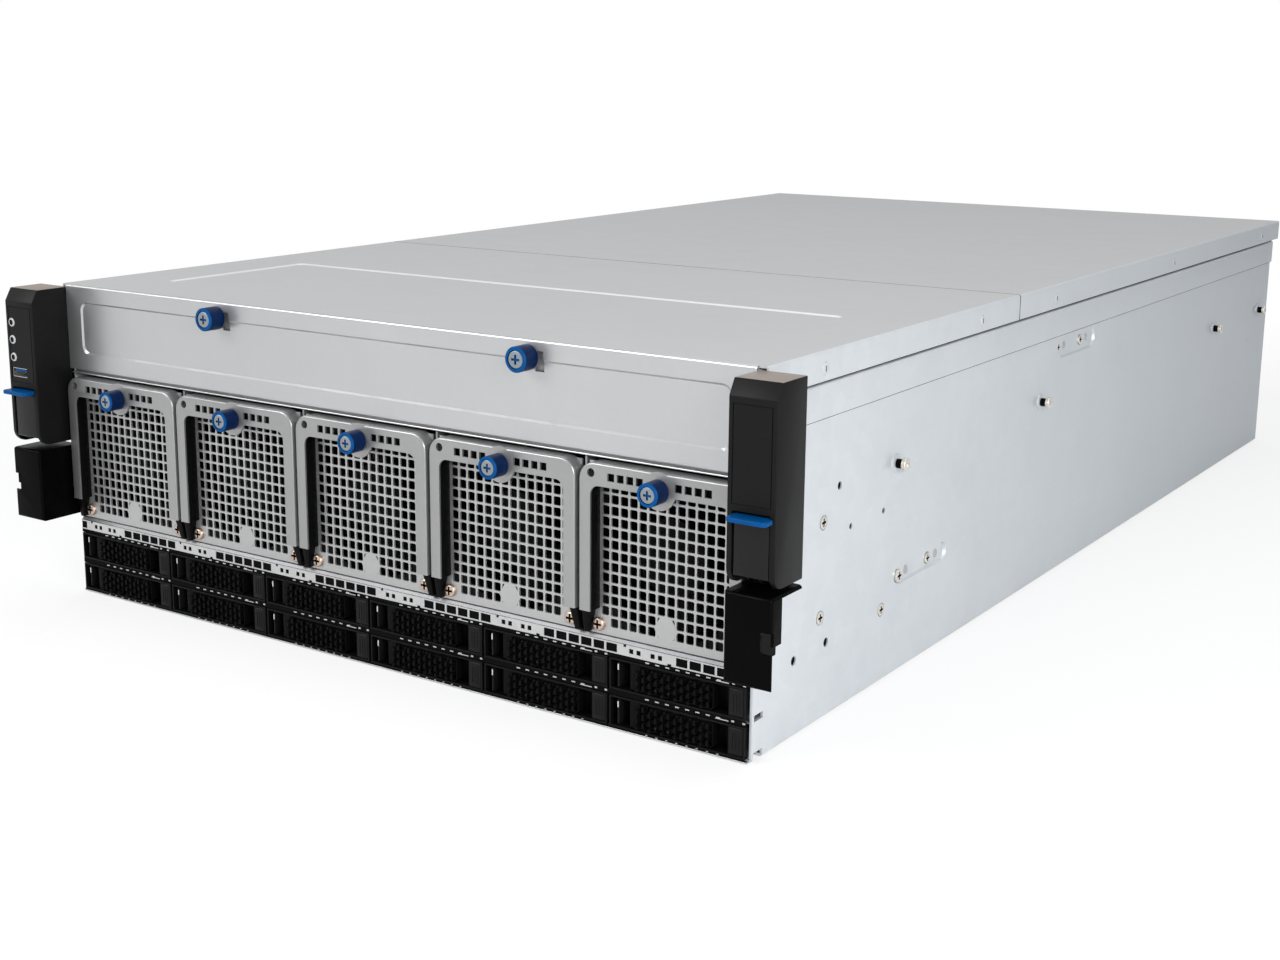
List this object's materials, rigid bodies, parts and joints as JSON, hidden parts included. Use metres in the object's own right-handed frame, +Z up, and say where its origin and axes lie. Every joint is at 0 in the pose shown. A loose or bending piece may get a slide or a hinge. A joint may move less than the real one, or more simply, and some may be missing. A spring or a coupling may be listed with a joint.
{
  "type": "4u gpu server",
  "caption": "Rack server chassis with pull-out front fan modules, flat drive carriers, latching rack ears, lift-off covers, accelerator cards and rear power supplies.",
  "frame": {"origin": "centre of the base, on the surface it stands on", "axes": "+X to the server's right as seen from the front, +Y from the front to the rear, +Z up"},
  "size_m": [0.4826, 0.863, 0.175],
  "materials": {
    "galvanised_steel": "satin, zinc coated",
    "cover_steel": "matte, zinc coated",
    "cage_steel": "satin",
    "fan_steel": "satin",
    "stud_nickel": "satin, nickel plated",
    "ear_black": "fine grain",
    "latch_black": "glossy",
    "button_grey": "smooth",
    "rotor_black": "smooth",
    "knob_blue": "knurled",
    "carrier_black": "fine grain",
    "lever_grey": "fine grain",
    "board_green": "solder mask",
    "heatsink_aluminium": "extruded",
    "card_grey": "satin, painted dark grey",
    "supply_steel": "satin casing"
  },
  "bodies": {
    "chassis": {"chassis_shell": "galvanised_steel", "rail_studs": "stud_nickel", "front_cage": "cage_steel", "rear_panel": "galvanised_steel", "rack_ears": "ear_black", "motherboard": "board_green", "cpu_heatsinks": "heatsink_aluminium", "gpu_cards": "card_grey"},
    "front_cover": {"front_top_cover": "cover_steel"},
    "rear_cover": {"rear_top_cover": "cover_steel"},
    "cover_thumbscrew_left": {"cover_thumbscrew_left": "knob_blue"},
    "ear_latch_left": {"ear_latch_left": "latch_black"},
    "cover_thumbscrew_right": {"cover_thumbscrew_right": "knob_blue"},
    "ear_latch_right": {"ear_latch_right": "latch_black"},
    "power_button": {"power_button": "button_grey"},
    "reset_button": {"reset_button": "button_grey"},
    "locate_button": {"locate_button": "button_grey"},
    "fan_module_1": {"fan_module_1": "fan_steel"},
    "fan_rotor_1": {"fan_rotor_1": "rotor_black"},
    "fan_thumbscrew_1": {"fan_thumbscrew_1": "knob_blue"},
    "fan_module_2": {"fan_module_2": "fan_steel"},
    "fan_rotor_2": {"fan_rotor_2": "rotor_black"},
    "fan_thumbscrew_2": {"fan_thumbscrew_2": "knob_blue"},
    "fan_module_3": {"fan_module_3": "fan_steel"},
    "fan_rotor_3": {"fan_rotor_3": "rotor_black"},
    "fan_thumbscrew_3": {"fan_thumbscrew_3": "knob_blue"},
    "fan_module_4": {"fan_module_4": "fan_steel"},
    "fan_rotor_4": {"fan_rotor_4": "rotor_black"},
    "fan_thumbscrew_4": {"fan_thumbscrew_4": "knob_blue"},
    "fan_module_5": {"fan_module_5": "fan_steel"},
    "fan_rotor_5": {"fan_rotor_5": "rotor_black"},
    "fan_thumbscrew_5": {"fan_thumbscrew_5": "knob_blue"},
    "drive_carrier_1": {"drive_carrier_1": "carrier_black"},
    "carrier_lever_1": {"carrier_lever_1": "lever_grey"},
    "drive_carrier_2": {"drive_carrier_2": "carrier_black"},
    "carrier_lever_2": {"carrier_lever_2": "lever_grey"},
    "drive_carrier_3": {"drive_carrier_3": "carrier_black"},
    "carrier_lever_3": {"carrier_lever_3": "lever_grey"},
    "drive_carrier_4": {"drive_carrier_4": "carrier_black"},
    "carrier_lever_4": {"carrier_lever_4": "lever_grey"},
    "drive_carrier_5": {"drive_carrier_5": "carrier_black"},
    "carrier_lever_5": {"carrier_lever_5": "lever_grey"},
    "drive_carrier_6": {"drive_carrier_6": "carrier_black"},
    "carrier_lever_6": {"carrier_lever_6": "lever_grey"},
    "drive_carrier_7": {"drive_carrier_7": "carrier_black"},
    "carrier_lever_7": {"carrier_lever_7": "lever_grey"},
    "drive_carrier_8": {"drive_carrier_8": "carrier_black"},
    "carrier_lever_8": {"carrier_lever_8": "lever_grey"},
    "drive_carrier_9": {"drive_carrier_9": "carrier_black"},
    "carrier_lever_9": {"carrier_lever_9": "lever_grey"},
    "drive_carrier_10": {"drive_carrier_10": "carrier_black"},
    "carrier_lever_10": {"carrier_lever_10": "lever_grey"},
    "drive_carrier_11": {"drive_carrier_11": "carrier_black"},
    "carrier_lever_11": {"carrier_lever_11": "lever_grey"},
    "drive_carrier_12": {"drive_carrier_12": "carrier_black"},
    "carrier_lever_12": {"carrier_lever_12": "lever_grey"},
    "power_supply_1": {"power_supply_1": "supply_steel"},
    "power_supply_2": {"power_supply_2": "supply_steel"},
    "power_supply_3": {"power_supply_3": "supply_steel"},
    "power_supply_4": {"power_supply_4": "supply_steel"}
  },
  "joints": [
    {"name": "front_cover_lift", "type": "slide", "parent": "chassis", "child": "front_cover", "axis": [0, 0, 1], "range_m": [0, 0.047]},
    {"name": "rear_cover_slide", "type": "slide", "parent": "chassis", "child": "rear_cover", "axis": [0, 1, 0], "range_m": [0, 0.012]},
    {"name": "cover_screw_left_turn", "type": "hinge", "parent": "front_cover", "child": "cover_thumbscrew_left", "pos_m": [-0.1, -0.40225, 0.1667], "axis": [0, 1, 0], "range_deg": [0, 720]},
    {"name": "cover_screw_right_turn", "type": "hinge", "parent": "front_cover", "child": "cover_thumbscrew_right", "pos_m": [0.1, -0.40225, 0.1667], "axis": [0, 1, 0], "range_deg": [0, 720]},
    {"name": "fan_module_1_slide", "type": "slide", "parent": "chassis", "child": "fan_module_1", "axis": [0, -1, 0], "range_m": [0, 0.08]},
    {"name": "fan_rotor_1_spin", "type": "hinge", "parent": "fan_module_1", "child": "fan_rotor_1", "pos_m": [-0.1738, -0.38, 0.0839], "axis": [0, -1, 0], "continuous": true},
    {"name": "fan_screw_1_turn", "type": "hinge", "parent": "fan_module_1", "child": "fan_thumbscrew_1", "pos_m": [-0.1738, -0.40225, 0.1162], "axis": [0, 1, 0], "range_deg": [0, 720]},
    {"name": "fan_module_2_slide", "type": "slide", "parent": "chassis", "child": "fan_module_2", "axis": [0, -1, 0], "range_m": [0, 0.08]},
    {"name": "fan_rotor_2_spin", "type": "hinge", "parent": "fan_module_2", "child": "fan_rotor_2", "pos_m": [-0.0869, -0.38, 0.0839], "axis": [0, -1, 0], "continuous": true},
    {"name": "fan_screw_2_turn", "type": "hinge", "parent": "fan_module_2", "child": "fan_thumbscrew_2", "pos_m": [-0.0869, -0.40225, 0.1162], "axis": [0, 1, 0], "range_deg": [0, 720]},
    {"name": "fan_module_3_slide", "type": "slide", "parent": "chassis", "child": "fan_module_3", "axis": [0, -1, 0], "range_m": [0, 0.08]},
    {"name": "fan_rotor_3_spin", "type": "hinge", "parent": "fan_module_3", "child": "fan_rotor_3", "pos_m": [0, -0.38, 0.0839], "axis": [0, -1, 0], "continuous": true},
    {"name": "fan_screw_3_turn", "type": "hinge", "parent": "fan_module_3", "child": "fan_thumbscrew_3", "pos_m": [0, -0.40225, 0.1162], "axis": [0, 1, 0], "range_deg": [0, 720]},
    {"name": "fan_module_4_slide", "type": "slide", "parent": "chassis", "child": "fan_module_4", "axis": [0, -1, 0], "range_m": [0, 0.08]},
    {"name": "fan_rotor_4_spin", "type": "hinge", "parent": "fan_module_4", "child": "fan_rotor_4", "pos_m": [0.0869, -0.38, 0.0839], "axis": [0, -1, 0], "continuous": true},
    {"name": "fan_screw_4_turn", "type": "hinge", "parent": "fan_module_4", "child": "fan_thumbscrew_4", "pos_m": [0.0869, -0.40225, 0.1162], "axis": [0, 1, 0], "range_deg": [0, 720]},
    {"name": "fan_module_5_slide", "type": "slide", "parent": "chassis", "child": "fan_module_5", "axis": [0, -1, 0], "range_m": [0, 0.08]},
    {"name": "fan_rotor_5_spin", "type": "hinge", "parent": "fan_module_5", "child": "fan_rotor_5", "pos_m": [0.1738, -0.38, 0.0839], "axis": [0, -1, 0], "continuous": true},
    {"name": "fan_screw_5_turn", "type": "hinge", "parent": "fan_module_5", "child": "fan_thumbscrew_5", "pos_m": [0.1738, -0.40225, 0.1162], "axis": [0, 1, 0], "range_deg": [0, 720]},
    {"name": "drive_carrier_1_slide", "type": "slide", "parent": "chassis", "child": "drive_carrier_1", "axis": [0, -1, 0], "range_m": [0, 0.115]},
    {"name": "carrier_lever_1_swing", "type": "hinge", "parent": "drive_carrier_1", "child": "carrier_lever_1", "pos_m": [-0.2032, -0.39825, 0.0091], "axis": [0, 0, -1], "range_deg": [0, 65]},
    {"name": "drive_carrier_2_slide", "type": "slide", "parent": "chassis", "child": "drive_carrier_2", "axis": [0, -1, 0], "range_m": [0, 0.115]},
    {"name": "carrier_lever_2_swing", "type": "hinge", "parent": "drive_carrier_2", "child": "carrier_lever_2", "pos_m": [-0.1309, -0.39825, 0.0091], "axis": [0, 0, -1], "range_deg": [0, 65]},
    {"name": "drive_carrier_3_slide", "type": "slide", "parent": "chassis", "child": "drive_carrier_3", "axis": [0, -1, 0], "range_m": [0, 0.115]},
    {"name": "carrier_lever_3_swing", "type": "hinge", "parent": "drive_carrier_3", "child": "carrier_lever_3", "pos_m": [-0.0586, -0.39825, 0.0091], "axis": [0, 0, -1], "range_deg": [0, 65]},
    {"name": "drive_carrier_4_slide", "type": "slide", "parent": "chassis", "child": "drive_carrier_4", "axis": [0, -1, 0], "range_m": [0, 0.115]},
    {"name": "carrier_lever_4_swing", "type": "hinge", "parent": "drive_carrier_4", "child": "carrier_lever_4", "pos_m": [0.0137, -0.39825, 0.0091], "axis": [0, 0, -1], "range_deg": [0, 65]},
    {"name": "drive_carrier_5_slide", "type": "slide", "parent": "chassis", "child": "drive_carrier_5", "axis": [0, -1, 0], "range_m": [0, 0.115]},
    {"name": "carrier_lever_5_swing", "type": "hinge", "parent": "drive_carrier_5", "child": "carrier_lever_5", "pos_m": [0.086, -0.39825, 0.0091], "axis": [0, 0, -1], "range_deg": [0, 65]},
    {"name": "drive_carrier_6_slide", "type": "slide", "parent": "chassis", "child": "drive_carrier_6", "axis": [0, -1, 0], "range_m": [0, 0.115]},
    {"name": "carrier_lever_6_swing", "type": "hinge", "parent": "drive_carrier_6", "child": "carrier_lever_6", "pos_m": [0.1583, -0.39825, 0.0091], "axis": [0, 0, -1], "range_deg": [0, 65]},
    {"name": "drive_carrier_7_slide", "type": "slide", "parent": "chassis", "child": "drive_carrier_7", "axis": [0, -1, 0], "range_m": [0, 0.115]},
    {"name": "carrier_lever_7_swing", "type": "hinge", "parent": "drive_carrier_7", "child": "carrier_lever_7", "pos_m": [-0.2032, -0.39825, 0.0269], "axis": [0, 0, -1], "range_deg": [0, 65]},
    {"name": "drive_carrier_8_slide", "type": "slide", "parent": "chassis", "child": "drive_carrier_8", "axis": [0, -1, 0], "range_m": [0, 0.115]},
    {"name": "carrier_lever_8_swing", "type": "hinge", "parent": "drive_carrier_8", "child": "carrier_lever_8", "pos_m": [-0.1309, -0.39825, 0.0269], "axis": [0, 0, -1], "range_deg": [0, 65]},
    {"name": "drive_carrier_9_slide", "type": "slide", "parent": "chassis", "child": "drive_carrier_9", "axis": [0, -1, 0], "range_m": [0, 0.115]},
    {"name": "carrier_lever_9_swing", "type": "hinge", "parent": "drive_carrier_9", "child": "carrier_lever_9", "pos_m": [-0.0586, -0.39825, 0.0269], "axis": [0, 0, -1], "range_deg": [0, 65]},
    {"name": "drive_carrier_10_slide", "type": "slide", "parent": "chassis", "child": "drive_carrier_10", "axis": [0, -1, 0], "range_m": [0, 0.115]},
    {"name": "carrier_lever_10_swing", "type": "hinge", "parent": "drive_carrier_10", "child": "carrier_lever_10", "pos_m": [0.0137, -0.39825, 0.0269], "axis": [0, 0, -1], "range_deg": [0, 65]},
    {"name": "drive_carrier_11_slide", "type": "slide", "parent": "chassis", "child": "drive_carrier_11", "axis": [0, -1, 0], "range_m": [0, 0.115]},
    {"name": "carrier_lever_11_swing", "type": "hinge", "parent": "drive_carrier_11", "child": "carrier_lever_11", "pos_m": [0.086, -0.39825, 0.0269], "axis": [0, 0, -1], "range_deg": [0, 65]},
    {"name": "drive_carrier_12_slide", "type": "slide", "parent": "chassis", "child": "drive_carrier_12", "axis": [0, -1, 0], "range_m": [0, 0.115]},
    {"name": "carrier_lever_12_swing", "type": "hinge", "parent": "drive_carrier_12", "child": "carrier_lever_12", "pos_m": [0.1583, -0.39825, 0.0269], "axis": [0, 0, -1], "range_deg": [0, 65]},
    {"name": "ear_latch_left_pivot", "type": "hinge", "parent": "chassis", "child": "ear_latch_left", "pos_m": [-0.22995, -0.41765, 0.0951], "axis": [1, 0, 0], "range_deg": [0, 20], "stiffness_Nm_per_rad": 0.3},
    {"name": "ear_latch_right_pivot", "type": "hinge", "parent": "chassis", "child": "ear_latch_right", "pos_m": [0.22995, -0.41765, 0.0951], "axis": [1, 0, 0], "range_deg": [0, 20], "stiffness_Nm_per_rad": 0.3},
    {"name": "power_button_press", "type": "slide", "parent": "chassis", "child": "power_button", "axis": [0, 1, 0], "range_m": [0, 0.001], "stiffness_N_per_m": 600},
    {"name": "reset_button_press", "type": "slide", "parent": "chassis", "child": "reset_button", "axis": [0, 1, 0], "range_m": [0, 0.001], "stiffness_N_per_m": 600},
    {"name": "locate_button_press", "type": "slide", "parent": "chassis", "child": "locate_button", "axis": [0, 1, 0], "range_m": [0, 0.001], "stiffness_N_per_m": 600},
    {"name": "power_supply_1_slide", "type": "slide", "parent": "chassis", "child": "power_supply_1", "axis": [0, 1, 0], "range_m": [0, 0.185]},
    {"name": "power_supply_2_slide", "type": "slide", "parent": "chassis", "child": "power_supply_2", "axis": [0, 1, 0], "range_m": [0, 0.185]},
    {"name": "power_supply_3_slide", "type": "slide", "parent": "chassis", "child": "power_supply_3", "axis": [0, 1, 0], "range_m": [0, 0.185]},
    {"name": "power_supply_4_slide", "type": "slide", "parent": "chassis", "child": "power_supply_4", "axis": [0, 1, 0], "range_m": [0, 0.185]}
  ]
}
